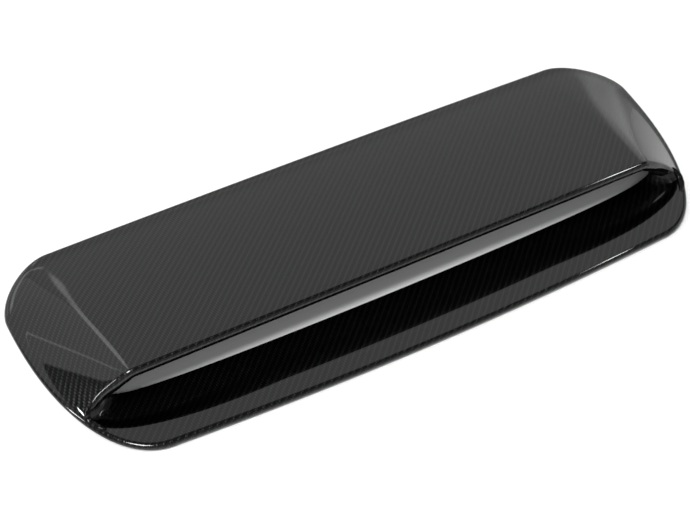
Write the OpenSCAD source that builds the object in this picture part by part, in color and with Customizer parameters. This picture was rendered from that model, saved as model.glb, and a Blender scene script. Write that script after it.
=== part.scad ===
// Bonnet scoop, one thin moulded shell in woven carbon fibre with a clear coat.
// A flat rim with a rounded, turned-down edge runs all round. Behind the mouth a hood rises from the
// rim to a rolled lip. In front of the mouth a flange steps down into a floor that ends in an open
// edge under the hood, so the air falls through the open underside.
// +Z is up and the rim stands on the plane Z = 0. +X runs along the lip, +Y runs to the rear.
// The origin is in the middle of the outline, on that plane. Lengths along Y in the settings are
// measured from the line that joins the ends of the front edge. Millimetres, real size.

/* [Overall size] */
// Width over the whole rim
overall_w = 720; // [690:1:750]
// Rear edge of the rim at mid width, measured from the front line
rear_edge_y = 263.1; // [250:0.1:280]
// Height of the rim above the plane that it stands on
rim_h = 7; // [6.5:0.1:8]
// Height of the crest of the lip
lip_h = 46; // [40:0.5:54]
// Thickness of the moulded wall
wall = 2; // [1.6:0.1:2.2]

/* [Outline] */
// Width of a rounded rear corner
rear_corner_w = 65.4; // [58:0.1:72]
// Depth of a rounded rear corner
rear_corner_d = 66.2; // [58:0.1:70]
// Share of a straight chamfer in a rear corner, 0 is a plain ellipse
rear_corner_cut = 0.22; // [0.1:0.01:0.3]
// Amount that the rear edge bows outwards
rear_bow = 2; // [0.5:0.1:4]
// Width of a rounded front corner
front_corner_w = 90.7; // [84:0.1:98]
// Fullness of a front corner, 2 is a plain ellipse
front_corner_n = 2.2; // [2:0.01:2.4]
// Amount that the front edge bows outwards
front_bow = 8.3; // [4:0.1:12]
// Outer radius of the turned-down rim edge
rim_r = 4; // [3.5:0.1:4.5]
// Amount that the foot of the rim is drawn in under its edge
foot_in = 3; // [2:0.1:3.5]
// Width of the flat rim beside the hood
flange_w = 6; // [5.5:0.1:7]

/* [Hood] */
// Front of the lip, measured from the front line
lip_front_y = 62; // [58:0.5:66]
// Crown of the hood from rear to lip, 0 is a flat slope
hood_crown = 0.27; // [0.1:0.01:0.4]
// Distance from the end of the rim to the shoulder of the hood at the mouth
shoulder_front_w = 73; // [68:0.5:78]
// Distance from the end of the rim to the shoulder of the hood at the rear
shoulder_rear_w = 56; // [52:0.5:62]
// Softness of the shoulder at the mouth
shoulder_soft = 6; // [4:0.5:9]
// Softness of the shoulder half way to the rear
shoulder_soft_mid = 6.5; // [4:0.5:12]
// Outward swell of the end faces of the hood
end_swell = 0.42; // [0.2:0.01:0.5]
// Softness of the hollow where the hood meets the rim
toe_soft = 3; // [2:0.1:4]

/* [Mouth] */
// Radius of the rolled lip
bead_r = 6; // [5.4:0.1:6.4]
// Depth of the lip that is turned back under the hood
lip_return = 12; // [9:0.5:16]
// Distance from the end of the rim to the foot of the mouth
foot_w = 29.5; // [28:0.1:32]
// Amount that the leg of the mouth turns forwards at its foot
foot_turn = 4; // [2:0.5:6]
// Height of the upper face of the floor at its rear edge
floor_h = 2.2; // [2.2:0.1:2.8]
// Distance from the front of the lip back to the rear edge of the floor at mid width
floor_reach = 3; // [0:0.5:6]
// Distance from the front of the lip back to the tips of the floor
tip_reach = 15; // [12:0.5:18]
// Distance from the end of the rim to the tips of the floor
tip_w = 54; // [51:0.5:57]
// Half width of the gently bowed part of the step in front of the mouth
step_half_w = 150; // [130:1:170]
// Distance of the step behind the front line at the ends of its bowed part
step_y = 13.1; // [10:0.1:16]
// Amount that the step bows forwards
step_bow = 3.5; // [1:0.1:5]
// Run of the step from the flange down to the floor at mid width
step_run = 34; // [28:0.5:40]
// Run of the step beside the foot of the mouth
step_run_foot = 14; // [13:0.5:16]

/* [Hidden] */
carbon = [0.045, 0.047, 0.05];

half_w = overall_w / 2;
middle_y = (rear_edge_y - front_bow) / 2;
rear_x = half_w - rear_corner_w;
front_x = half_w - front_corner_w;
wide_y = rear_edge_y - rear_bow - rear_corner_d;
mouth_y = lip_front_y + bead_r;
shoulder_front_x = half_w - shoulder_front_w;
shoulder_rear_x = half_w - shoulder_rear_w;
foot_x = half_w - foot_w;
tip_x = half_w - tip_w;
tip_y = lip_front_y + tip_reach;
floor_y = lip_front_y + floor_reach;
hood_rear_y = rear_edge_y - rear_bow - flange_w;
shoulder_rear_y = hood_rear_y - 9;
shoulder_min = 18;
bead_drop = 2 * bead_r;
return_h = lip_h - bead_drop;
return_ratio = (return_h - floor_h) / (lip_h - rim_h);
slope_step = 0.5;
// turn of the toe line round the rear corner, which follows the outline
toe_turn = 0.68;

// stations along half of the ring: the straight hood, the rear corner, the leg of the mouth, the
// front corner and the straight front
hood_steps = 8;
rear_steps = 20;
leg_steps = 18;
corner_steps = 14;
front_steps = 8;
// reach of the stations along the lip and the leg of the mouth
hood_end_x = shoulder_front_x - 29;
leg_start_x = shoulder_front_x + 15;
// share of the front corner that the leg of the mouth takes
leg_share = 0.49;
rear_ease = 1.15;
crest_ease = 0.62;
leg_ease = 1.5;
corner_ease = 1.6;
rim_ease = 1.375;
// the foot: length of its turn, angle at which it runs on outwards, share of the front corner in
// which its height fades, and its swell
foot_turn_w = 16;
foot_angle = 10;
foot_fade = 0.16;
foot_swell = 0.12;
ease_in = 7;
// points along one section
rim_turns = [30, 60, 90];
near_toe = [4, 10, 22];
near_share = [8, 4, 2.5];
far_share = [0.25, 0.5, 0.75, 1];
roll_steps = 6;

function ease(v) = let (c = max(0, min(1, v))) c * c * (3 - 2 * c);
function unit(v) = v / norm(v);
function blend(a, b, w) = a * (1 - w) + b * w;
function soft_min(a, b, k) = min(a, b) - k * pow(max(1 - abs(a - b) / k, 0), 2) / 4;
function soft_max(a, b, k) = -soft_min(-a, -b, k);

// point of the outline moved inwards by the inset; part 0 is the straight rear, 1 the rear corner,
// 2 the front corner and 3 the straight front, and t runs from 0 to 1 along each
function outline_at(part, t, inset) =
    part == 0 ? [rear_x * t, rear_edge_y - rear_bow * t * t - inset]
    : part == 1 ? let (top = rear_edge_y - rear_bow - inset)
        [rear_x + (half_w - inset - rear_x) * blend(sin(90 * t), ease(t), rear_corner_cut),
         wide_y + (top - wide_y) * blend(cos(90 * t), 1 - ease(t), rear_corner_cut)]
    : part == 2 ? let (e = 2 / front_corner_n)
        [front_x + (half_w - inset - front_x) * pow(cos(90 * t), e),
         wide_y - (wide_y - inset) * pow(sin(90 * t), e)]
    : [front_x * (1 - t), inset - front_bow * (1 - pow(1 - t, 2))];

// half width of the line where the hood meets the rim
function toe_x(y) =
    let (w = half_w - flange_w)
    y > wide_y
        ? let (r = min(1, (y - wide_y) / (hood_rear_y - wide_y)))
            rear_x + (w - rear_x) * pow(1 - r * r, toe_turn)
        : let (f = min(1, (wide_y - y) / wide_y))
            front_x + (w - front_x) * pow(1 - pow(f, front_corner_n), 1 / front_corner_n);

// height of the crowned top of the hood
function top_z(y) =
    let (s = (hood_rear_y - y) / (hood_rear_y - mouth_y))
    rim_h + (lip_h - rim_h) * (s * (1 + hood_crown) - hood_crown * s * s);

// height of the hood: its top, its swelling end face and the soft shoulder between them
function hood_z(x, y) =
    let (back = (y - mouth_y) / (shoulder_rear_y - mouth_y),
         shoulder = blend(shoulder_front_x, shoulder_rear_x, back),
         top = top_z(y),
         w = max(toe_x(y) - shoulder, shoulder_min),
         q = (toe_x(y) - x) / w,
         c = max(0, min(1, q)),
         end_face = rim_h + (top - rim_h) * (q + end_swell * c * (1 - c)),
         b = max(0, min(1, back)),
         k = min(blend(shoulder_soft, shoulder_soft_mid, sin(180 * b)), max(top - rim_h, slope_step)))
    soft_max(soft_min(top, end_face, k), rim_h, toe_soft);

// stations as [outline part, place on it, kind, place on the mouth]
LIP = 0;
LEG = 1;
CORNER = 2;
FRONT = 3;
stations = concat(
    [for (i = [0 : hood_steps - 1]) let (t = i / hood_steps) [0, t, LIP, hood_end_x * t]],
    [for (i = [0 : rear_steps - 1]) let (t = i / rear_steps)
        [1, pow(t, rear_ease), LIP, blend(hood_end_x, leg_start_x, pow(t, crest_ease))]],
    [for (i = [0 : leg_steps - 1]) let (t = i / leg_steps)
        [2, leg_share * t, LEG, blend(leg_start_x, foot_x, 1 - pow(1 - t, leg_ease))]],
    [for (i = [0 : corner_steps - 1]) let (t = pow(i / corner_steps, corner_ease))
        [2, blend(leg_share, 1, pow(t, rim_ease)), CORNER, t]],
    [for (i = [0 : front_steps]) let (t = i / front_steps) [3, t, FRONT, t]]);

// plan of the edge of the mouth: lip, legs, and the top of the step in front
function mouth_edge(kind, s) =
    kind <= LEG ? [s, mouth_y - foot_turn * pow(max(0, 1 - (foot_x - s) / foot_turn_w), 2)]
    : kind == CORNER ? let (a = blend(-foot_angle, 90, s),
                            w = (foot_x - step_half_w) / cos(foot_angle),
                            d = (mouth_y - foot_turn - step_y) / (1 + sin(foot_angle)))
        [step_half_w + w * cos(a), step_y + d * (1 - sin(a))]
    : [step_half_w * (1 - s), step_y - step_bow * (1 - pow(1 - s, 2))];

// distances of the hood points from the toe along a ray of the given length
function ray_marks(len) =
    let (near = [for (i = [0 : 2]) min(near_toe[i], len / near_share[i])])
    concat([0], near, [for (f = far_share) near[2] + (len - near[2]) * f]);

// rear edge of the floor
function floor_edge(x) =
    let (u = x / tip_x, swing = 6)
    floor_y + swing * u * u + (tip_y - floor_y - swing) * pow(u, 8);

// one open section, from the foot of the rim over the hood or flange to the trimmed inner edge
function section(st) =
    let (part = st[0], t = st[1], kind = st[2], s = st[3],
         hood = kind <= LEG,
         rim = concat(
             [concat(outline_at(part, t, foot_in), [0]), concat(outline_at(part, t, 0), [rim_h - rim_r])],
             [for (a = rim_turns)
                 concat(outline_at(part, t, rim_r * (1 - cos(a))), [rim_h - rim_r + rim_r * sin(a)])]),
         toe = outline_at(part, t, flange_w),
         edge = mouth_edge(kind, s),
         len = norm(edge - toe),
         foot_rise = kind == CORNER
             ? (hood_z(foot_x, mouth_y - foot_turn) - rim_h) * pow(max(0, 1 - s / foot_fade), 2) : 0,
         marks = ray_marks(len),
         sheet = [for (d = marks)
             let (f = d / len, q = toe + (edge - toe) * f)
             [q.x, q.y, hood ? hood_z(q.x, q.y) : rim_h + foot_rise * (f + foot_swell * f * (1 - f))]],
         top = sheet[7],
         into = unit(top - sheet[6]),
         roll = hood ? lip_roll(top, into, s) : step_roll(top, into, kind, s, foot_rise))
    concat(rim, sheet, roll);

// points of a smooth cubic run from a to d
function cubic(a, b, c, d) =
    [for (i = [1 : roll_steps]) let (u = i / roll_steps, v = 1 - u)
        v * v * v * a + 3 * v * v * u * b + 3 * v * u * u * c + u * u * u * d];

// the rolled lip and its return
function lip_roll(top, into, s) =
    let (fall = (hood_z(s - slope_step, mouth_y) - hood_z(s + slope_step, mouth_y)) / (2 * slope_step),
         n = unit([fall, 0, 1]),
         g = max(0, min(1, (s - shoulder_front_x) / (foot_x - shoulder_front_x))),
         w = ease((g - 0.35) / 0.65),
         z = floor_h + (top.z - rim_h) * return_ratio,
         low = [top.x - blend(bead_drop * n.x, step_run_foot, w), top.y + 5 * w, z],
         last = [blend(low.x - g, tip_x, w), blend(mouth_y + lip_return, tip_y, w), z],
         out = unit(last - low),
         chord = norm(low - top),
         h1 = blend(2 / 3, 1 / 2, w) * chord,
         h2 = blend(2 / 3, 2 / 5, w) * chord)
    concat(cubic(top, top + h1 * into, low - h2 * out, low), [(low + last) / 2, last]);

// the step from the flange down to the floor
function step_roll(top, into, kind, s, foot_rise) =
    let (edge = [top.x, top.y],
         f = kind == CORNER ? s : 1,
         z = floor_h + foot_rise * return_ratio,
         gx = kind == CORNER ? blend(tip_x, 0.99 * step_half_w, s) : 0.99 * edge.x,
         inner = [gx, floor_edge(gx)],
         dist = norm(inner - edge),
         dir = (inner - edge) / dist,
         run = blend(step_run_foot, step_run, ease(f)),
         w = kind == CORNER ? ease(s / 0.25) : 1,
         low2 = blend(edge + [-step_run_foot, 5], edge + dir * run, w),
         low = [low2.x, low2.y, z],
         last = [inner.x, inner.y, z],
         out = unit(last - low),
         w2 = kind == CORNER ? ease(s / 0.3) : 1,
         start = unit(blend(into, [dir.x, dir.y, 0], w2)),
         chord = norm(low - top),
         h1 = blend(chord / 2, ease_in, w),
         h2 = 2 / 5 * chord)
    concat(cubic(top, top + h1 * start, low - h2 * out, low), [(low + last) / 2, last]);

half_ring = [for (st = stations) section(st)];
last_half = len(half_ring) - 1;
ring = concat(half_ring,
    [for (i = [last_half - 1 : -1 : 1]) [for (p = half_ring[i]) [-p.x, p.y, p.z]]]);
count = len(ring);
width = len(ring[0]);

// outward direction at every point, evened out a little along and across the ring
raw_dirs = [for (i = [0 : count - 1]) [for (j = [0 : width - 1])
    let (along = ring[(i + 1) % count][j] - ring[(i + count - 1) % count][j],
         across = ring[i][min(j + 1, width - 1)] - ring[i][max(j - 1, 0)])
    unit(cross(across, along))]];
function even_along(d) = [for (i = [0 : count - 1]) [for (j = [0 : width - 1])
    unit(d[i][j] + (d[(i + 1) % count][j] + d[(i + count - 1) % count][j]) / 2)]];
function even_across(d) = [for (i = [0 : count - 1]) [for (j = [0 : width - 1])
    j < 2 || j == width - 1 ? d[i][j] : unit(2 * d[i][j] + d[i][j - 1] + d[i][j + 1])]];
dirs = even_across(even_across(even_along(even_along(even_along(raw_dirs)))));

skin = [for (row = ring) each row];
// the foot of the rim is level, so its lining lies beside it
function inward(i, j) = j == 0 ? unit([dirs[i][0].x, dirs[i][0].y, 0]) : dirs[i][j];
lining = [for (i = [0 : count - 1]) for (j = [0 : width - 1]) ring[i][j] - wall * inward(i, j)];

function id(i, j, side) = side * count * width + (i % count) * width + j;
function quad(a, b, c, d) = [[a, b, c], [a, c, d]];

shell_faces = [for (i = [0 : count - 1]) each concat(
    [for (j = [0 : width - 2]) each concat(
        quad(id(i, j, 0), id(i + 1, j, 0), id(i + 1, j + 1, 0), id(i, j + 1, 0)),
        quad(id(i, j, 1), id(i, j + 1, 1), id(i + 1, j + 1, 1), id(i + 1, j, 1)))],
    quad(id(i, 0, 0), id(i, 0, 1), id(i + 1, 0, 1), id(i + 1, 0, 0)),
    quad(id(i, width - 1, 0), id(i + 1, width - 1, 0), id(i + 1, width - 1, 1), id(i, width - 1, 1)))];

// the whole moulding
module scoop_shell() {
    color(carbon)
    translate([0, -middle_y, 0])
    polyhedron(points = concat(skin, lining), faces = shell_faces, convexity = 6);
}

scoop_shell();
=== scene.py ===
"""Bonnet scoop in woven carbon fibre under a clear coat, on a pale studio floor."""

from __future__ import annotations

import logging
import math
from dataclasses import dataclass, field
from enum import Enum
from typing import Any, Union

import bpy
import numpy as np
from mathutils import Matrix, Vector


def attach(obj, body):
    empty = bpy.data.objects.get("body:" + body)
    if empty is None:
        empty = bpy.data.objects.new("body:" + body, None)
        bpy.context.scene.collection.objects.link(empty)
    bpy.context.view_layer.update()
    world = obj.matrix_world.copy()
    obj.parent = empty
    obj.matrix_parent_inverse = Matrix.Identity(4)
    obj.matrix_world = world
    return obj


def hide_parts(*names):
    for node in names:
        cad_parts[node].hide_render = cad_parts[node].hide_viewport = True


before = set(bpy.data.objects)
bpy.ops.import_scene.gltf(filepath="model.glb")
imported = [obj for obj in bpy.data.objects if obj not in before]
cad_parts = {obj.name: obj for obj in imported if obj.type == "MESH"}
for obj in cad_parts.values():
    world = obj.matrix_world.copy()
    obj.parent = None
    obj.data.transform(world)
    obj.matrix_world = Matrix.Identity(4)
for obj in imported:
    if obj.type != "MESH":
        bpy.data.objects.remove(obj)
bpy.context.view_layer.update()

Array = np.ndarray
Number = Union[int, float]
log = logging.getLogger("scoop")
MM = 0.001
NODE = "scoop_shell"
FINISH_SLOT = "clear_coated_weave"
IMAGE_WIDTH = 690


class Zone(Enum):
    """Parts of the half outline, in order from the rear middle to the front middle."""

    REAR = 0
    REAR_CORNER = 1
    FRONT_CORNER = 2
    FRONT = 3


class Reach(Enum):
    """What a station of the ring crosses on its way to the inner edge."""

    LIP = 0
    LEG = 1
    CORNER = 2
    FRONT = 3


def ease(v: Array) -> Array:
    """Smooth step from 0 to 1: 3v^2 - 2v^3, with v held between 0 and 1."""
    c = np.clip(v, 0.0, 1.0)
    return c * c * (3.0 - 2.0 * c)


def mix(a: Array, b: Array, w: Array) -> Array:
    """Straight blend from a to b as w goes from 0 to 1."""
    return a * (1.0 - w) + b * w


def unit(v: Array) -> Array:
    """Vectors along the last axis, each divided by its length."""
    return v / (np.linalg.norm(v, axis=-1, keepdims=True) + 1e-12)


def soft_min(a: Array, b: Array, k: Array) -> Array:
    """Lower of a and b, rounded off by a parabola where they differ by less than k."""
    return np.minimum(a, b) - k * np.maximum(1.0 - np.abs(a - b) / k, 0.0) ** 2 / 4.0


def soft_max(a: Array, b: Array, k: Array) -> Array:
    """Higher of a and b, rounded off by a parabola where they differ by less than k."""
    return -soft_min(-a, -b, k)


@dataclass(frozen=True)
class Outline:
    """Outer line of the rim in millimetres: bowed straights joined by rounded corners."""

    half_w: float = 360.0
    rear_edge_y: float = 263.1
    rear_corner_w: float = 65.4
    rear_corner_d: float = 66.2
    rear_corner_cut: float = 0.22
    rear_bow: float = 2.0
    front_corner_w: float = 90.7
    front_corner_n: float = 2.2
    front_bow: float = 8.3

    @property
    def rear_x(self) -> float:
        """Half width of the straight rear edge."""
        return self.half_w - self.rear_corner_w

    @property
    def front_x(self) -> float:
        """Half width of the bowed front edge."""
        return self.half_w - self.front_corner_w

    @property
    def wide_y(self) -> float:
        """Place of the widest point."""
        return self.rear_edge_y - self.rear_bow - self.rear_corner_d

    @property
    def middle_y(self) -> float:
        """Middle of the depth, which becomes the origin."""
        return (self.rear_edge_y - self.front_bow) / 2.0

    def at(self, zone: Array, t: Array, inset: Array) -> Array:
        """Points of the outline moved inwards.

        A front corner is a superellipse, x = a * cos(angle)^(2/n), y = b * sin(angle)^(2/n). A
        rear corner blends an ellipse with a chamfer that is run along with an eased pace. A
        straight edge bows by a parabola.

        Args:
            zone: number of the outline's zone at each station.
            t: place along the zone, 0 to 1.
            inset: distance inwards.

        Returns:
            Plan points, with x and y along the last axis.
        """
        w = self.half_w - inset
        angle = 0.5 * np.pi * t
        s, c = np.clip(np.sin(angle), 0, 1), np.clip(np.cos(angle), 0, 1)
        ef, cut = 2.0 / self.front_corner_n, self.rear_corner_cut
        top = self.rear_edge_y - self.rear_bow - inset
        xs = [self.rear_x * t,
              self.rear_x + (w - self.rear_x) * mix(s, ease(t), cut),
              self.front_x + (w - self.front_x) * c ** ef,
              self.front_x * (1.0 - t)]
        ys = [self.rear_edge_y - self.rear_bow * t * t - inset,
              self.wide_y + (top - self.wide_y) * mix(c, 1.0 - ease(t), cut),
              self.wide_y - (self.wide_y - inset) * s ** ef,
              inset - self.front_bow * (1.0 - (1.0 - t) ** 2)]
        pick = [zone == z.value for z in Zone]
        return np.stack([np.select(pick, xs), np.select(pick, ys)], axis=-1)


@dataclass(frozen=True)
class Hood:
    """Height of the hood over the plan, in millimetres.

    The shoulders are tighter than the solid's, which gives the narrow highlight along them. The
    crest of the lip is 0.08 mm lower than the solid's, which keeps the shell inside its box.
    """

    outline: Outline = field(default_factory=Outline)
    rim_h: float = 7.0
    lip_h: float = 45.92
    flange_w: float = 6.0
    mouth_y: float = 68.0
    crown: float = 0.27
    shoulder_front_w: float = 73.0
    shoulder_rear_w: float = 56.0
    shoulder_rear_in: float = 9.0
    shoulder_soft: float = 2.6
    slope_step: float = 0.5
    end_swell: float = 0.42
    toe_soft: float = 3.0
    shoulder_min: float = 18.0
    toe_turn: float = 0.68

    @property
    def rear_y(self) -> float:
        """Rear end of the sloping top."""
        return self.outline.rear_edge_y - self.outline.rear_bow - self.flange_w

    @property
    def shoulder_front_x(self) -> float:
        """Half width of the shoulder at the mouth."""
        return self.outline.half_w - self.shoulder_front_w

    def toe_x(self, y: Array) -> Array:
        """Half width of the line where the hood meets the rim, a * (1 - r^m)^n in each corner."""
        o = self.outline
        w = o.half_w - self.flange_w
        r = np.clip((y - o.wide_y) / (self.rear_y - o.wide_y), 0, 1)
        f = np.clip((o.wide_y - y) / o.wide_y, 0, 1)
        rear = o.rear_x + (w - o.rear_x) * (1 - r * r) ** self.toe_turn
        front = o.front_x + (w - o.front_x) * (1 - f ** o.front_corner_n) ** (1 / o.front_corner_n)
        return np.where(y > o.wide_y, rear, front)

    def shoulder_x(self, y: Array) -> Array:
        """Half width of the shoulder, a straight line from the mouth to the rear."""
        rear_x = self.outline.half_w - self.shoulder_rear_w
        depth = self.rear_y - self.shoulder_rear_in - self.mouth_y
        return mix(self.shoulder_front_x, rear_x, (y - self.mouth_y) / depth)

    def top_z(self, y: Array) -> Array:
        """Height of the crowned top: a slope that flattens towards the lip by a parabola."""
        s = (self.rear_y - y) / (self.rear_y - self.mouth_y)
        return self.rim_h + (self.lip_h - self.rim_h) * (s * (1 + self.crown) - self.crown * s * s)

    def z(self, x: Array, y: Array) -> Array:
        """Height of the hood: lower of top and swelling end face, over the rim, softly joined.

        Inside the shoulder line the end face rises on with the slope that it has there.

        Args:
            x: distances from the middle plane.
            y: distances from the front line.

        Returns:
            Heights above the plane that the rim stands on.
        """
        top, toe = self.top_z(y), self.toe_x(y)
        q = (toe - x) / np.maximum(toe - self.shoulder_x(y), self.shoulder_min)
        c = np.clip(q, 0, 1)
        rise = np.where(q > 1, 1 + (1 - self.end_swell) * (q - 1), q + self.end_swell * c * (1 - c))
        end_face = self.rim_h + (top - self.rim_h) * rise
        k = np.minimum(self.shoulder_soft, np.maximum(top - self.rim_h, self.slope_step))
        return soft_max(soft_min(top, end_face, k), self.rim_h, self.toe_soft)


@dataclass(frozen=True)
class Mouth:
    """Lip, legs, step and floor of the mouth, in millimetres.

    The angle is in degrees. A fade, a from, a share or a swell is a part of 1, and a pull is the
    length of a curve's handle as a share of its chord.
    """

    bead_r: float = 6.0
    lip_return: float = 12.0
    foot_w: float = 29.5
    foot_turn: float = 4.0
    foot_turn_w: float = 16.0
    foot_angle: float = 10.0
    foot_fade: float = 0.16
    foot_swell: float = 0.12
    foot_back: float = 5.0
    foot_from: float = 0.35
    floor_h: float = 2.2
    floor_y: float = 65.0
    floor_swing: float = 6.0
    tip_y: float = 77.0
    tip_w: float = 54.0
    step_half_w: float = 150.0
    step_y: float = 13.1
    step_bow: float = 3.5
    step_run: float = 34.0
    step_run_foot: float = 14.0
    step_low_fade: float = 0.25
    step_start_fade: float = 0.3
    inner_share: float = 0.99
    ease_in: float = 7.0
    bead_pull: float = 2 / 3
    pull_in: float = 1 / 2
    pull_out: float = 2 / 5


@dataclass
class ScoopShell:
    """The one-piece moulding, worked out as a closed ring of sections round the mouth.

    Lengths are in millimetres and the angle in degrees. An ease is a power that spaces the places
    along one stretch. The counts are the stations of the straight rear, the rear corner, the leg,
    the front corner and the straight front.
    """

    outline: Outline = field(default_factory=Outline)
    hood: Hood = field(default_factory=Hood)
    mouth: Mouth = field(default_factory=Mouth)
    wall: float = 2.0
    rim_r: float = 4.0
    foot_in: float = 3.0
    hood_end_in: float = 29.0
    leg_start_out: float = 15.0
    leg_share: float = 0.49
    rear_ease: float = 1.15
    crest_ease: float = 0.62
    leg_ease: float = 1.5
    corner_ease: float = 1.5
    rim_ease: float = 1.375
    sheet_ease: float = 1.8
    near_edge: float = 0.4
    cloth_fade: float = 12.0
    cloth_leg_from: float = 0.5
    cloth_stretch: float = 1.02
    counts: tuple[int, int, int, int, int] = (22, 70, 64, 56, 34)
    wall_steps: int = 3
    turn_steps: int = 9
    sheet_steps: int = 30
    roll_steps: int = 20
    edge_steps: int = 6
    passes_along: int = 36
    passes_across: int = 16
    sharp_angle: float = 50.0

    @property
    def foot_x(self) -> float:
        """Half width of the mouth at its feet."""
        return self.outline.half_w - self.mouth.foot_w

    @property
    def tip_x(self) -> float:
        """Half width of the floor's rear edge."""
        return self.outline.half_w - self.mouth.tip_w

    def stations(self) -> tuple[Array, Array, Array, Array]:
        """Stations along half of the ring, closest where the form turns fastest.

        Returns:
            Outline zone, place along it, reach and place along the mouth, one value a station.
        """
        hood_end = self.hood.shoulder_front_x - self.hood_end_in
        leg_start = self.hood.shoulder_front_x + self.leg_start_out
        share = self.leg_share
        t = [np.arange(n) / n for n in self.counts[:4]]
        t.append(np.linspace(0, 1, self.counts[4] + 1))
        zone = [np.full(len(a), z) for a, z in zip(t, (0, 1, 2, 2, 3))]
        near = t[3] ** self.corner_ease
        place = [t[0], t[1] ** self.rear_ease, share * t[2],
                 mix(share, 1.0, near ** self.rim_ease), t[4]]
        reach = [np.full(len(a), r) for a, r in zip(t, (0, 0, 1, 2, 3))]
        along = [hood_end * t[0], mix(hood_end, leg_start, t[1] ** self.crest_ease),
                 mix(leg_start, self.foot_x, 1 - (1 - t[2]) ** self.leg_ease), near, t[4]]
        return tuple(np.concatenate(a) for a in (zone, place, reach, along))

    def mouth_edge(self, reach: Array, s: Array) -> Array:
        """Plan of the mouth's edge.

        The lip is straight. A leg turns forwards by a parabola at its foot, an ellipse runs on from
        there a little outwards and round the corner, and the step bows by a parabola.

        Args:
            reach: what each station crosses.
            s: place along it.

        Returns:
            Plan points, with x and y along the last axis.
        """
        m, my = self.mouth, self.hood.mouth_y
        back = math.radians(m.foot_angle)
        angle = mix(-back, 0.5 * np.pi, s)
        w = (self.foot_x - m.step_half_w) / math.cos(back)
        d = (my - m.foot_turn - m.step_y) / (1 + math.sin(back))
        leg_y = my - m.foot_turn * np.maximum(0, 1 - (self.foot_x - s) / m.foot_turn_w) ** 2
        xs = [s, s, m.step_half_w + w * np.cos(angle), m.step_half_w * (1 - s)]
        ys = [leg_y, leg_y, m.step_y + d * (1 - np.sin(angle)),
              m.step_y - m.step_bow * (1 - (1 - s) ** 2)]
        pick = [reach == r.value for r in Reach]
        return np.stack([np.select(pick, xs), np.select(pick, ys)], axis=-1)

    def floor_edge(self, x: Array) -> Array:
        """Rear edge of the floor: a parabola that turns up in an eighth power at the tips."""
        m = self.mouth
        u = x / self.tip_x
        return m.floor_y + m.floor_swing * u * u + (m.tip_y - m.floor_y - m.floor_swing) * u ** 8

    def rim_rows(self, zone: Array, t: Array) -> tuple[Array, Array]:
        """Drawn-in foot and quarter round of the rim, from the foot up.

        Args:
            zone: outline zone of each station.
            t: place along the zone.

        Returns:
            Points, and the length that the cloth runs on past its plan at each.
        """
        r, h = self.rim_r, self.hood.rim_h
        low = np.linspace(1, 0, self.wall_steps)
        turn = np.linspace(0, 0.5 * np.pi, self.turn_steps + 1)[1:]
        inset = np.concatenate([self.foot_in * low, r * (1 - np.cos(turn))])
        z = np.concatenate([(h - r) * (1 - low), h - r + r * np.sin(turn)])
        slant = math.hypot(self.foot_in, h - r) + self.foot_in
        over = np.concatenate([low * slant + r * (0.5 * np.pi - 1),
                               r * (0.5 * np.pi - turn) - r * np.cos(turn)])
        plan = self.outline.at(zone[:, None], t[:, None], inset[None, :])
        z = np.broadcast_to(z, plan.shape[:2])
        return np.concatenate([plan, z[..., None]], axis=-1), np.broadcast_to(over, plan.shape[:2])

    def sections(self) -> tuple[Array, Array]:
        """Half of the ring and its cloth coordinates.

        Each section climbs the rim, crosses the hood or the flange, turns over the lip or down
        the step by a cubic curve, and ends at the trimmed inner edge.

        Returns:
            Points and cloth coordinates, by station and by place across.
        """
        hood, m = self.hood, self.mouth
        zone, t, reach, s = self.stations()
        on_hood = reach <= Reach.LEG.value
        corner = reach == Reach.CORNER.value
        rim, over = self.rim_rows(zone, t)

        toe = self.outline.at(zone, t, np.full(t.shape, hood.flange_w))
        edge = self.mouth_edge(reach, s)
        span = edge - toe
        length = np.linalg.norm(span, axis=-1)
        foot_y = hood.mouth_y - m.foot_turn
        rise = float(hood.z(np.array(self.foot_x), np.array(foot_y))) - hood.rim_h
        rise = np.where(corner, rise * np.maximum(0, 1 - s / m.foot_fade) ** 2, 0.0)
        share = np.linspace(0, 1, self.sheet_steps + 1) ** self.sheet_ease
        plan = toe[:, None] + span[:, None] * share[None, :, None]
        foot = rise[:, None] * (share + m.foot_swell * share * (1 - share))[None, :]
        z = np.where(on_hood[:, None], hood.z(plan[..., 0], plan[..., 1]), hood.rim_h + foot)
        sheet = np.concatenate([plan, z[..., None]], axis=-1)
        top = sheet[:, -1].copy()
        back = edge - span / length[:, None] * self.near_edge
        back_z = np.where(on_hood, hood.z(back[:, 0], back[:, 1]),
                          hood.rim_h + rise * (1 - self.near_edge / length))
        into = unit(top - np.concatenate([back, back_z[:, None]], axis=-1))

        roll = np.where(on_hood[:, None, None], self.lip_roll(top, into, s),
                        self.step_roll(top, into, reach, s, rise))
        points = np.concatenate([rim, sheet, roll], axis=1)
        return points, self.cloth(points, over, zone, t, on_hood, s)

    def cubic(self, a: Array, b: Array, c: Array, d: Array) -> Array:
        """Bezier cubic from a to d after its first point, weights (1-u)^3, 3u(1-u)^2 and so on."""
        u = (np.arange(1, self.roll_steps + 1) / self.roll_steps)[None, :, None]
        v = 1 - u
        return (v ** 3 * a[:, None] + 3 * v * v * u * b[:, None]
                + 3 * v * u * u * c[:, None] + u ** 3 * d[:, None])

    def inner_strip(self, low: Array, last: Array) -> Array:
        """Straight run from the end of the curve to the trimmed edge."""
        u = (np.arange(1, self.edge_steps + 1) / self.edge_steps)[None, :, None]
        return low[:, None] * (1 - u) + last[:, None] * u

    def down_leg(self, s: Array) -> Array:
        """Share of the leg's run that lies behind each section, 0 at the shoulder and 1 at the foot."""
        start = self.hood.shoulder_front_x
        return np.clip((s - start) / (self.foot_x - start), 0, 1)

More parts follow.
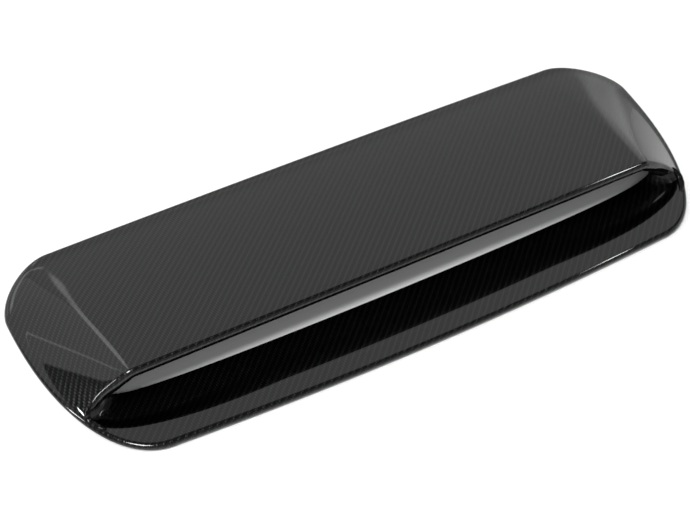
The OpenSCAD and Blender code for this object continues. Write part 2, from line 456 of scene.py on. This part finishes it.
    def lip_roll(self, top: Array, into: Array, s: Array) -> Array:
        """Rolled lip and its return: half a turn of the bead radius, wider towards the foot.

        Args:
            top: crest of each section.
            into: direction in which the section arrives there.
            s: distance of the section from the middle plane.

        Returns:
            Points of the curve and of the strip behind it.
        """
        hood, m = self.hood, self.mouth
        y = np.full(s.shape, hood.mouth_y)
        fall = hood.z(s - hood.slope_step, y) - hood.z(s + hood.slope_step, y)
        n = unit(np.stack([fall, 0 * fall, 2 * hood.slope_step + 0 * fall], axis=-1))
        g = self.down_leg(s)
        w = ease((g - m.foot_from) / (1 - m.foot_from))
        drop = 2 * m.bead_r
        ratio = (hood.lip_h - drop - m.floor_h) / (hood.lip_h - hood.rim_h)
        z = m.floor_h + (top[:, 2] - hood.rim_h) * ratio
        low = np.stack([top[:, 0] - mix(drop * n[:, 0], m.step_run_foot, w),
                        top[:, 1] + m.foot_back * w, z], axis=-1)
        last = np.stack([mix(low[:, 0] - g, self.tip_x, w),
                         mix(hood.mouth_y + m.lip_return, m.tip_y, w), z], axis=-1)
        out = unit(last - low)
        chord = np.linalg.norm(low - top, axis=-1)
        h1 = (mix(m.bead_pull, m.pull_in, w) * chord)[:, None]
        h2 = (mix(m.bead_pull, m.pull_out, w) * chord)[:, None]
        curve = self.cubic(top, top + h1 * into, low - h2 * out, low)
        return np.concatenate([curve, self.inner_strip(low, last)], axis=1)

    def step_roll(self, top: Array, into: Array, reach: Array, s: Array, rise: Array) -> Array:
        """Step from the flange down to the floor, and the floor to its rear edge.

        Args:
            top: upper edge of the step at each section.
            into: direction in which the section arrives there.
            reach: what the section crosses.
            s: place along the front corner or the front.
            rise: height of the fading foot over the flange.

        Returns:
            Points of the step and of the floor behind it.
        """
        hood, m = self.hood, self.mouth
        corner = reach == Reach.CORNER.value
        edge = top[:, :2]
        ratio = (hood.lip_h - 2 * m.bead_r - m.floor_h) / (hood.lip_h - hood.rim_h)
        z = m.floor_h + rise * ratio
        gx = np.where(corner, mix(self.tip_x, m.inner_share * m.step_half_w, s), m.inner_share * edge[:, 0])
        inner = np.stack([gx, self.floor_edge(gx)], axis=-1)
        dist = np.linalg.norm(inner - edge, axis=-1)
        way = (inner - edge) / dist[:, None]
        run = mix(m.step_run_foot, m.step_run, ease(np.where(corner, s, 1.0)))
        w = np.where(corner, ease(s / m.step_low_fade), 1.0)[:, None]
        low = mix(edge + np.array([-m.step_run_foot, m.foot_back]), edge + way * run[:, None], w)
        low = np.concatenate([low, z[:, None]], axis=-1)
        last = np.concatenate([inner, z[:, None]], axis=-1)
        out = unit(last - low)
        w2 = np.where(corner, ease(s / m.step_start_fade), 1.0)[:, None]
        start = unit(mix(into, np.concatenate([way, 0 * z[:, None]], axis=-1), w2))
        chord = np.linalg.norm(low - top, axis=-1)[:, None]
        curve = self.cubic(top, top + mix(m.pull_in * chord, m.ease_in, w) * start,
                           low - m.pull_out * chord * out, low)
        return np.concatenate([curve, self.inner_strip(low, last)], axis=1)

    def cloth(self, points: Array, over: Array, zone: Array, t: Array, on_hood: Array,
              s: Array) -> Array:
        """Cloth coordinates of every point, in millimetres along the two yarns.

        The cloth lies flat over the plan, runs on by the slope's extra length down the end
        faces, by the arc past the rim's plan over its edge, and by the arc round the lip.

        Args:
            points: the half ring.
            over: length past the plan on the rim rows.
            zone: outline zone of each station.
            t: place along the zone.
            on_hood: which stations cross the hood.
            s: place along the mouth.

        Returns:
            Cloth coordinates, by station and by place across.
        """
        hood = self.hood
        x, y = points[..., 0], points[..., 1]
        shoulder = hood.shoulder_x(y)
        end_w = hood.toe_x(y) - shoulder
        down = np.clip(x - shoulder, 0, np.maximum(end_w, 0))
        tall = np.clip((hood.top_z(y) - hood.rim_h) / np.maximum(end_w, hood.shoulder_min), 0, 1)
        fade = ease((y - hood.mouth_y + self.cloth_fade) / self.cloth_fade)
        u = x + (np.sqrt(1 + tall ** 2) - 1) * down * fade
        v = y * self.cloth_stretch
        near = self.outline.at(zone, t, np.zeros(t.shape))
        far = self.outline.at(zone, t, np.full(t.shape, 1.0))
        away = unit(near - far)
        rows = over.shape[1]
        u[:, :rows] += away[:, :1] * over
        v[:, :rows] += away[:, 1:] * over
        start = rows + self.sheet_steps
        steps = np.linalg.norm(np.diff(points[:, start:], axis=1), axis=-1)
        run = np.concatenate([0 * steps[:, :1], np.cumsum(steps, axis=1)], axis=1)
        leg = ease((self.down_leg(s) - self.cloth_leg_from) / (1 - self.cloth_leg_from))
        w = np.where(on_hood, leg, 1.0)[:, None]
        u[:, start:] = mix(u[:, start:start + 1], u[:, start:], w)
        v[:, start:] = mix(v[:, start:start + 1] - run, v[:, start:], w)
        return np.stack([u, v], axis=-1)

    def directions(self, ring: Array) -> Array:
        """Outward direction at every point: the cross product of the steps across and along.

        The directions are evened out, first along the ring and then across the sections, so that
        the lining stays smooth where the form turns tightly.

        Args:
            ring: points of the outer face, by station and by place across.

        Returns:
            Unit vectors.
        """
        along = np.roll(ring, -1, axis=0) - np.roll(ring, 1, axis=0)
        across = np.empty_like(ring)
        across[:, 1:-1] = ring[:, 2:] - ring[:, :-2]
        across[:, 0] = ring[:, 1] - ring[:, 0]
        across[:, -1] = ring[:, -1] - ring[:, -2]
        d = unit(np.cross(across, along))
        first = self.wall_steps + self.turn_steps + 1
        for _ in range(self.passes_along):
            d = unit(d + 0.5 * (np.roll(d, 1, axis=0) + np.roll(d, -1, axis=0)))
        for _ in range(self.passes_across):
            d[:, first:-1] = unit(2 * d[:, first:-1] + d[:, first - 1:-2] + d[:, first + 1:])
        return d

    def build(self) -> bpy.types.Object:
        """Makes the shell as one closed mesh in metres, with its cloth and side attributes."""
        half, cloth = self.sections()
        turned = half[::-1][1:-1] * np.array([-1.0, 1.0, 1.0])
        turned_cloth = cloth[::-1][1:-1] * np.array([-1.0, 1.0])
        ring = np.concatenate([half, turned])
        cloth = np.concatenate([cloth, turned_cloth])
        outward = self.directions(ring)
        outward[:, 0, 2] = 0.0
        outward[:, 0] = unit(outward[:, 0])
        lining = ring - self.wall * outward
        count, width = ring.shape[:2]
        verts = np.concatenate([ring.reshape(-1, 3), lining.reshape(-1, 3)])
        verts[:, 1] -= self.outline.middle_y

        i = np.arange(count)[:, None]
        j = np.arange(width - 1)[None, :]
        nxt = (i + 1) % count
        a, b = i * width + j, nxt * width + j
        side = count * width
        outer = np.stack([a, b, b + 1, a + 1], axis=-1).reshape(-1, 4)
        inner = np.stack([a, a + 1, b + 1, b], axis=-1).reshape(-1, 4) + side
        i, nxt = i[:, 0] * width, nxt[:, 0] * width
        foot = np.stack([i, i + side, nxt + side, nxt], axis=-1)
        i, nxt = i + width - 1, nxt + width - 1
        trim = np.stack([i, nxt, nxt + side, i + side], axis=-1)
        faces = np.concatenate([outer, inner, foot, trim])

        mesh = bpy.data.meshes.new("carbon_shell")
        mesh.from_pydata((verts * MM).tolist(), [], faces.tolist())
        uv = mesh.uv_layers.new(name="cloth")
        loops = np.empty(len(mesh.loops), dtype=np.int32)
        mesh.loops.foreach_get("vertex_index", loops)
        flat = np.concatenate([cloth.reshape(-1, 2)] * 2) * MM
        uv.data.foreach_set("uv", flat[loops].ravel())
        hidden = mesh.attributes.new("lining", "FLOAT", "POINT")
        hidden.data.foreach_set("value", np.repeat([0.0, 1.0], side))
        mesh.polygons.foreach_set("use_smooth", np.ones(len(faces), dtype=bool))
        mesh.set_sharp_from_angle(angle=math.radians(self.sharp_angle))
        mesh.validate()
        mesh.update()
        obj = bpy.data.objects.new("carbon_shell", mesh)
        bpy.context.scene.collection.objects.link(obj)
        log.info("shell: %d stations, %d faces", count, len(faces))
        return obj


class Sock:
    """A shader socket that takes part in arithmetic; each operator adds one Math node."""

    def __init__(self, graph: "Graph", socket: bpy.types.NodeSocket) -> None:
        """Wraps a socket of the graph."""
        self.graph = graph
        self.socket = socket

    def _op(self, name: str, *values: Union["Sock", Number]) -> "Sock":
        """Adds a Math node with the given operation on the values."""
        return self.graph.node("ShaderNodeMath", {"operation": name}, dict(enumerate(values)))

    def __add__(self, other: Union["Sock", Number]) -> "Sock":
        """Sum."""
        return self._op("ADD", self, other)

    def __radd__(self, other: Number) -> "Sock":
        """Sum with a number on the left."""
        return self._op("ADD", other, self)

    def __sub__(self, other: Union["Sock", Number]) -> "Sock":
        """Difference."""
        return self._op("SUBTRACT", self, other)

    def __rsub__(self, other: Number) -> "Sock":
        """Difference from a number on the left."""
        return self._op("SUBTRACT", other, self)

    def __mul__(self, other: Union["Sock", Number]) -> "Sock":
        """Product."""
        return self._op("MULTIPLY", self, other)

    def __rmul__(self, other: Number) -> "Sock":
        """Product with a number on the left."""
        return self._op("MULTIPLY", other, self)

    def __truediv__(self, other: Union["Sock", Number]) -> "Sock":
        """Quotient."""
        return self._op("DIVIDE", self, other)

    def __mod__(self, other: Number) -> "Sock":
        """Remainder that is never negative."""
        return self._op("FLOORED_MODULO", self, other)

    def __pow__(self, other: Number) -> "Sock":
        """Power."""
        return self._op("POWER", self, other)

    def __lt__(self, other: Union["Sock", Number]) -> "Sock":
        """1 where lower, otherwise 0."""
        return self._op("LESS_THAN", self, other)

    def __abs__(self) -> "Sock":
        """Size without sign."""
        return self._op("ABSOLUTE", self)

    def floor(self) -> "Sock":
        """Whole part."""
        return self._op("FLOOR", self)

    def fract(self) -> "Sock":
        """Part behind the point."""
        return self._op("FRACT", self)

    def sine(self) -> "Sock":
        """Sine of an angle in radians."""
        return self._op("SINE", self)

    def turn(self, other: "Sock") -> "Sock":
        """Angle in radians whose sine and cosine are as this to the other."""
        return self._op("ARCTAN2", self, other)

    def angle(self) -> "Sock":
        """Angle in radians of which this is the sine."""
        return self._op("ARCSINE", self)

    def least(self, other: Union["Sock", Number]) -> "Sock":
        """Lower of two."""
        return self._op("MINIMUM", self, other)

    def most(self, other: Union["Sock", Number]) -> "Sock":
        """Higher of two."""
        return self._op("MAXIMUM", self, other)

    def fade(self, edge: float, blur: float) -> "Sock":
        """Smooth step from 1 to 0 over the blur round the edge."""
        return self.graph.node("ShaderNodeMapRange", {"interpolation_type": "SMOOTHSTEP"},
                               {0: self, 1: edge - blur / 2, 2: edge + blur / 2, 3: 1.0, 4: 0.0})

    def choose(self, one: Union["Sock", Number], zero: Union["Sock", Number]) -> "Sock":
        """Blend: one where this is 1, zero where it is 0."""
        return self * one + (1 - self) * zero


@dataclass
class Graph:
    """Node tree of one material."""

    tree: bpy.types.NodeTree

    def node(self, kind: str, settings: dict[str, Any] | None = None,
             inputs: dict[Union[int, str], Any] | None = None, output: Union[int, str] = 0) -> Sock:
        """Adds a node, sets it up and fills its sockets.

        Args:
            kind: Blender's type name.
            settings: properties, which are set before the sockets.
            inputs: socket name or number to a value or a Sock.
            output: socket of the result.

        Returns:
            The chosen output.
        """
        n = self.tree.nodes.new(kind)
        for key, value in (settings or {}).items():
            setattr(n, key, value)
        for key, value in (inputs or {}).items():
            if isinstance(value, Sock):
                self.tree.links.new(value.socket, n.inputs[key])
            else:
                n.inputs[key].default_value = value
        return Sock(self, n.outputs[output])

    def colour(self, factor: Sock, low: Any, high: Any) -> Sock:
        """Blend of two colours by a factor, through a colour Mix node."""
        return self.node("ShaderNodeMix", {"data_type": "RGBA"}, {0: factor, 6: low, 7: high}, 2)

    def surface(self, shader: Sock) -> None:
        """Joins the shader to the material's output."""
        out = self.tree.nodes.new("ShaderNodeOutputMaterial")
        self.tree.links.new(shader.socket, out.inputs["Surface"])


@dataclass(frozen=True)
class WovenCarbon:
    """Two-by-two twill of black yarns in resin under a glossy clear coat, sizes in metres."""

    yarn: float = 0.002
    # The warp is painted lighter than the weft: painted sheen of the yarns' direction, as both yarns are
    # the same black fibre.
    warp_colour_with_sheen: tuple[float, float, float] = (0.027, 0.0277, 0.027)
    weft_colour_without_sheen: tuple[float, float, float] = (0.0076, 0.0079, 0.0077)
    # Colour where the yarns sink: painted shade on their rounded sides and in the gaps, together with the
    # resin between them.
    gap_shade_colour: tuple[float, float, float] = (0.0025, 0.0025, 0.0026)
    edge_tint: tuple[float, float, float, float] = (0.3, 0.3, 0.3, 1.0)
    roundness: float = 3.0
    fullness: float = 0.6
    thread_count: int = 7
    thread_depth: float = 0.06
    relief: float = 0.00012
    roughness: float = 0.34
    cloud_size: float = 40.0
    cloud_depth: float = 0.08
    coat_roughness: float = 0.015
    coat_ior: float = 1.5
    lining_roughness: float = 0.2
    lining_coat_loss: float = 0.75

    def material(self, name: str) -> bpy.types.Material:
        """Builds the material on the piece's cloth map.

        Cell (i, j) of the cloth has the warp on top where (i - j) mod 4 is under 2, so each
        yarn floats over two cells and the floats step by one cell a row. A float's height is
        its round cross section times a half sine along its two cells.

        Args:
            name: name of the material.

        Returns:
            The material.
        """
        mat = bpy.data.materials.new(name)
        mat.use_nodes = True
        tree = mat.node_tree
        tree.nodes.clear()
        g = Graph(tree)
        cloth = g.node("ShaderNodeUVMap", {"uv_map": "cloth"})
        parts = tree.nodes.new("ShaderNodeSeparateXYZ")
        tree.links.new(cloth.socket, parts.inputs[0])
        p = Sock(g, parts.outputs[0]) / self.yarn
        q = Sock(g, parts.outputs[1]) / self.yarn
        k = (p.floor() - q.floor()) % 4.0
        warp = k < 1.5
        fp, fq = p.fract(), q.fract()
        across = warp.choose(fp, fq)
        along = warp.choose(1 - k + fq, k - 2 + fp)
        side = abs(across * 2 - 1)
        round_ = 1 - side ** self.roundness
        rise = (along * (math.pi / 2)).sine().most(0.0) ** self.fullness
        height = round_ * rise
        threads = (across * (2 * math.pi * self.thread_count)).sine() * self.thread_depth
        inside = g.node("ShaderNodeAttribute", {"attribute_name": "lining"}, None, "Fac")

        # Painted sheen: warp cells take the lighter colour and weft cells the darker one.
        sheen_tone = g.colour(warp, (*self.weft_colour_without_sheen, 1.0), (*self.warp_colour_with_sheen, 1.0))
        # Darker as the height falls towards the yarns' sides and the gaps between them: painted shade.
        base = g.colour((height * (1 + threads)).least(1.0).most(0.0), (*self.gap_shade_colour, 1.0), sheen_tone)
        bump = g.node("ShaderNodeBump", None, {"Strength": 1.0, "Distance": self.relief, "Height": height})
        clouds = g.node("ShaderNodeTexNoise", None, {"Vector": cloth, "Scale": self.cloud_size,
                                                     "Detail": 2.0})
        rough = self.roughness + (clouds - 0.5) * self.cloud_depth + inside * self.lining_roughness
        shader = g.node("ShaderNodeBsdfPrincipled", None, {
            "Base Color": base, "Metallic": 1.0, "Roughness": rough, "Normal": bump,
            "Specular Tint": self.edge_tint, "Coat Weight": 1 - inside * self.lining_coat_loss,
            "Coat Roughness": self.coat_roughness, "Coat IOR": self.coat_ior})
        g.surface(shader)
        return mat


@dataclass(frozen=True)
class StudioFloor:
    """Pale floor that shows white to the camera and keeps the shadow of the object."""

    size: float = 8.0
    colour: tuple[float, float, float] = (0.92, 0.92, 0.92)
    lift: float = 0.03

    def build(self) -> bpy.types.Object:
        """Makes the floor plane and its material."""
        h = self.size / 2
        mesh = bpy.data.meshes.new("studio_floor")
        mesh.from_pydata([(-h, -h, 0), (h, -h, 0), (h, h, 0), (-h, h, 0)], [], [(0, 1, 2, 3)])
        obj = bpy.data.objects.new("studio_floor", mesh)
        bpy.context.scene.collection.objects.link(obj)
        mat = bpy.data.materials.new("pale_floor")
        mat.use_nodes = True
        mat.node_tree.nodes.clear()
        g = Graph(mat.node_tree)
        seen = (g.node("ShaderNodeLightPath", output="Is Camera Ray")
                + g.node("ShaderNodeLightPath", output="Is Glossy Ray")
                + g.node("ShaderNodeLightPath", output="Is Transmission Ray")).least(1.0)
        matt = g.node("ShaderNodeBsdfDiffuse", None, {"Color": (*self.colour, 1.0)})
        glow = g.node("ShaderNodeEmission", None, {"Color": (1, 1, 1, 1), "Strength": self.lift})
        both = g.node("ShaderNodeAddShader", None, {0: matt, 1: glow})
        g.surface(g.node("ShaderNodeMixShader", None, {0: seen, 1: matt, 2: both}))
        mesh.materials.append(mat)
        return obj


@dataclass(frozen=True)
class SquareLight:
    """Distant square light that faces the middle of the object."""

    name: str
    azimuth: float
    elevation: float
    width: float
    glow: float
    distance: float = 6.0

    def build(self) -> bpy.types.Object:
        """Places the light on a sphere round the object.

        Azimuth 0 is in front and 90 to the right. The width is an angle in degrees from edge to
        edge, and the glow is the brightness of the face, where 1 is white.

        Returns:
            The lamp.
        """
        data = bpy.data.lights.new(self.name, "AREA")
        data.shape = "SQUARE"
        data.size = 2 * self.distance * math.tan(math.radians(self.width / 2))
        data.energy = self.glow * math.pi * data.size ** 2
        obj = bpy.data.objects.new(self.name, data)
        a, e = math.radians(self.azimuth), math.radians(self.elevation)
        way = Vector((math.sin(a) * math.cos(e), -math.cos(a) * math.cos(e), math.sin(e)))
        turn = way.to_track_quat("Z", "Y").to_matrix().to_4x4()
        obj.matrix_world = Matrix.Translation(way * self.distance) @ turn
        bpy.context.scene.collection.objects.link(obj)
        return obj


@dataclass(frozen=True)
class SoftBox:
    """Large far soft box in the studio's surroundings, in degrees from edge to edge."""

    left: float
    right: float
    low: float
    high: float
    glow: float
    blur: float = 4.0
    blur_up: float = 4.0
    tilt: float = 0.0

    def shine(self, azimuth: "Sock", elevation: "Sock") -> "Sock":
        """Glow in a direction: a smooth step at each edge, sideways times upwards.

        A tilted box rises by the tilt for each degree round the object.

        Args:
            azimuth: direction round the object in degrees, 0 in front and 90 to the right.
            elevation: direction above the floor in degrees.

        Returns:
            The glow of the box there.
        """
        offset = (azimuth - (self.left + self.right) / 2 + 180) % 360.0 - 180
        above = abs(elevation - (self.low + self.high) / 2 - offset * self.tilt)
        width, height = (self.right - self.left) / 2, (self.high - self.low) / 2
        return abs(offset).fade(width, self.blur) * above.fade(height, self.blur_up) * self.glow


@dataclass(frozen=True)
class StudioCamera:
    """Camera at the photograph's place, found from the outline of the rim."""

    azimuth: float = -30.8033
    elevation: float = 50.1659
    roll: float = 3.0
    focal_px: float = 1566.6
    shift: tuple[float, float, float] = (0.2366, -0.2220, -4.1964)
    unit_m: float = 0.36
    front_line: float = 2.1
    sensor_mm: float = 36.0
    far_m: float = 50.0

    def build(self, middle_y: float) -> bpy.types.Object:
        """Makes the camera.

        Args:
            middle_y: distance in millimetres from the front line to the origin.

        Returns:
            The camera, which is also the scene's.
        """
        a, e, r = (math.radians(v) for v in (self.azimuth, self.elevation, self.roll))
        back = Vector((math.sin(a) * math.cos(e), -math.cos(a) * math.cos(e), math.sin(e)))
        right = Vector((math.cos(a), math.sin(a), 0.0))
        up = Vector((-math.sin(a) * math.sin(e), math.cos(a) * math.sin(e), math.cos(e)))
        side = right * math.cos(r) + up * math.sin(r)
        head = up * math.cos(r) - right * math.sin(r)
        turn = Matrix((side, head, back)).transposed()
        origin = Vector((0, (middle_y - self.front_line) * MM, 0))
        place = -(turn @ Vector(self.shift)) * self.unit_m - origin
        data = bpy.data.cameras.new("studio_camera")
        data.sensor_width = self.sensor_mm
        data.sensor_fit = "HORIZONTAL"
        data.lens = self.focal_px / IMAGE_WIDTH * self.sensor_mm
        data.clip_end = self.far_m
        obj = bpy.data.objects.new("studio_camera", data)
        obj.matrix_world = Matrix.Translation(place) @ turn.to_4x4()
        bpy.context.scene.collection.objects.link(obj)
        bpy.context.scene.camera = obj
        return obj


@dataclass
class Studio:
    """Floor, light and camera."""

    floor: StudioFloor = field(default_factory=StudioFloor)
    camera: StudioCamera = field(default_factory=StudioCamera)
    lamps: tuple[SquareLight, ...] = (
        SquareLight("top_light", -64.0, 67.0, 16.0, 31.0),
    )
    boxes: tuple[SoftBox, ...] = (
        # rear, over the top, the flange and the left end face
        SoftBox(125.0, 183.0, -8.0, 58.5, 0.66, 4.0, 2.0),
        SoftBox(125.0, 183.0, 42.0, 58.5, 0.1, 4.0, 4.0),
        SoftBox(183.0, 233.4, -8.0, 58.5, 0.84, 2.0, 2.0),
        # strips for the highlight along the left shoulder
        SoftBox(173.8, 179.5, 27.3, 29.5, 1.2, 1.0, 1.4, 1.2),
        SoftBox(179.5, 193.0, 35.2, 43.2, 1.6, 1.0, 1.0, 0.8),
        # glints on the right part of the lip and on the front rim
        SoftBox(74.0, 102.0, 59.7, 60.9, 34.0, 2.0, 0.5),
        # thin line on the left end face
        SoftBox(217.9, 219.3, 22.0, 44.0, 0.9, 1.0, 4.0),
        # glint on the left leg of the mouth, and light on the woven triangle beside it
        SoftBox(254.5, 258.0, 19.5, 40.0, 44.0, 1.0, 3.0),
        # right, for the right end face
        SoftBox(60.0, 138.5, -8.0, 30.0, 0.5, 7.0, 8.0),
        SoftBox(60.0, 127.0, -8.0, 30.0, 0.25, 10.0, 8.0),
        # front
        SoftBox(-70.0, 70.0, -20.0, 45.0, 0.35, 30.0, 20.0),
    )
    sky: float = 0.12
    tint: tuple[float, float, float] = (0.975, 1.0, 0.98)

    def build(self, middle_y: float) -> None:
        """Sets the stage.

        Args:
            middle_y: distance in millimetres from the front line to the origin.
        """
        self.floor.build()
        self.camera.build(middle_y)
        for lamp in self.lamps:
            lamp.build()
        self.surroundings()
        bpy.context.scene.view_settings.view_transform = "Standard"
        log.info("studio: %d lamps, %d soft boxes", len(self.lamps), len(self.boxes))

    def surroundings(self) -> None:
        """Makes the world: a dim sky plus the glow of each soft box by direction."""
        world = bpy.data.worlds.new("studio_surroundings")
        world.use_nodes = True
        world.node_tree.nodes.clear()
        g = Graph(world.node_tree)
        way = g.node("ShaderNodeTexCoord", None, None, "Generated")
        x, y, z = (g.node("ShaderNodeSeparateXYZ", None, {0: way}, n) for n in range(3))
        azimuth = x.turn(0 - y) * math.degrees(1)
        elevation = z.angle() * math.degrees(1)
        glow = self.boxes[0].shine(azimuth, elevation) + self.sky
        for box in self.boxes[1:]:
            glow = glow + box.shine(azimuth, elevation)
        back = g.node("ShaderNodeBackground", None, {"Color": (*self.tint, 1.0), "Strength": glow})
        out = world.node_tree.nodes.new("ShaderNodeOutputWorld")
        world.node_tree.links.new(back.socket, out.inputs["Surface"])
        bpy.context.scene.world = world


def main() -> None:
    """Builds the shell and the studio."""
    logging.basicConfig(level=logging.INFO)
    shell = ScoopShell()
    piece = shell.build()
    piece.data.materials.append(WovenCarbon().material(FINISH_SLOT))
    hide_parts(NODE)
    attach(piece, "root")
    Studio().build(shell.outline.middle_y)


if __name__ == "__main__":
    main()
